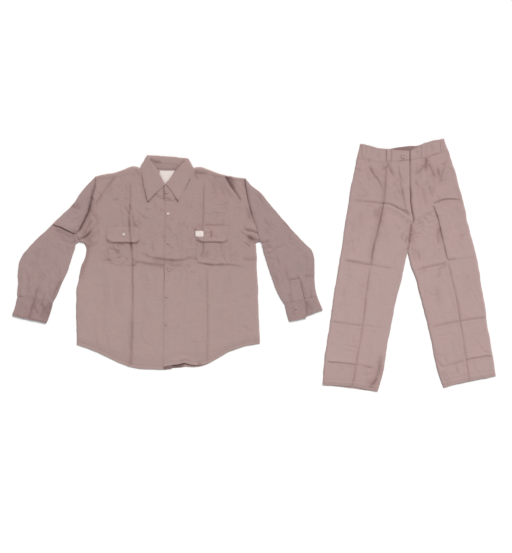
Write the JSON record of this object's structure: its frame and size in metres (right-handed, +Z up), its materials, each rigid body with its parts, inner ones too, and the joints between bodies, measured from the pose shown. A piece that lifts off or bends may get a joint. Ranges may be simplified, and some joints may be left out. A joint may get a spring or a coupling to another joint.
{
  "type": "shirt and trousers set",
  "caption": "Long-sleeved button-front work shirt with flap pockets and pleated-front trousers, laid flat side by side as one matching set.",
  "frame": {"origin": "middle of the laid-out set in plan, on the surface it lies on", "axes": "+X across the set from the shirt to the trousers, +Y towards the collar and waistband, +Z up from the surface"},
  "size_m": [1.9351, 1.0102, 0.0087],
  "materials": {
    "shirt_cloth": "matte woven cotton-blend shirting, dusty rose-grey",
    "trouser_cloth": "matte woven twill, dusty rose-grey, slightly paler than the shirt",
    "label_white": "woven white tape, bare",
    "button_tonal": "dyed to match the cloth, satin",
    "button_pale": "pale, with a bright highlight"
  },
  "bodies": {
    "root": {"shirt_back": "shirt_cloth", "shirt_yoke": "shirt_cloth", "shirt_front_right": "shirt_cloth", "shirt_front_left": "shirt_cloth", "shirt_sleeve_right": "shirt_cloth", "shirt_sleeve_left": "shirt_cloth", "shirt_cuff_right": "shirt_cloth", "shirt_cuff_left": "shirt_cloth", "shirt_sleeve_placket_left": "shirt_cloth", "shirt_collar_leaf": "shirt_cloth", "shirt_collar_stand": "shirt_cloth", "shirt_pocket_right": "shirt_cloth", "shirt_pocket_left": "shirt_cloth", "shirt_flap_right": "shirt_cloth", "shirt_flap_left": "shirt_cloth", "shirt_label_neck": "label_white", "shirt_tab_pocket": "label_white", "shirt_button_1": "button_pale", "shirt_button_flap_right": "button_pale", "shirt_button_2": "button_tonal", "shirt_button_3": "button_tonal", "shirt_button_4": "button_tonal", "shirt_button_5": "button_tonal", "shirt_button_collar": "button_tonal", "shirt_button_cuff_left": "button_tonal", "trousers_front_right": "trouser_cloth", "trousers_front_left": "trouser_cloth", "trousers_back_right": "trouser_cloth", "trousers_back_left": "trouser_cloth", "trousers_waistband_right": "trouser_cloth", "trousers_waistband_left": "trouser_cloth", "trousers_waistband_back": "trouser_cloth", "trousers_loop_right_front": "trouser_cloth", "trousers_loop_right_side": "trouser_cloth", "trousers_loop_left_front": "trouser_cloth", "trousers_loop_left_side": "trouser_cloth", "trousers_waist_button": "button_tonal"}
  },
  "joints": []
}
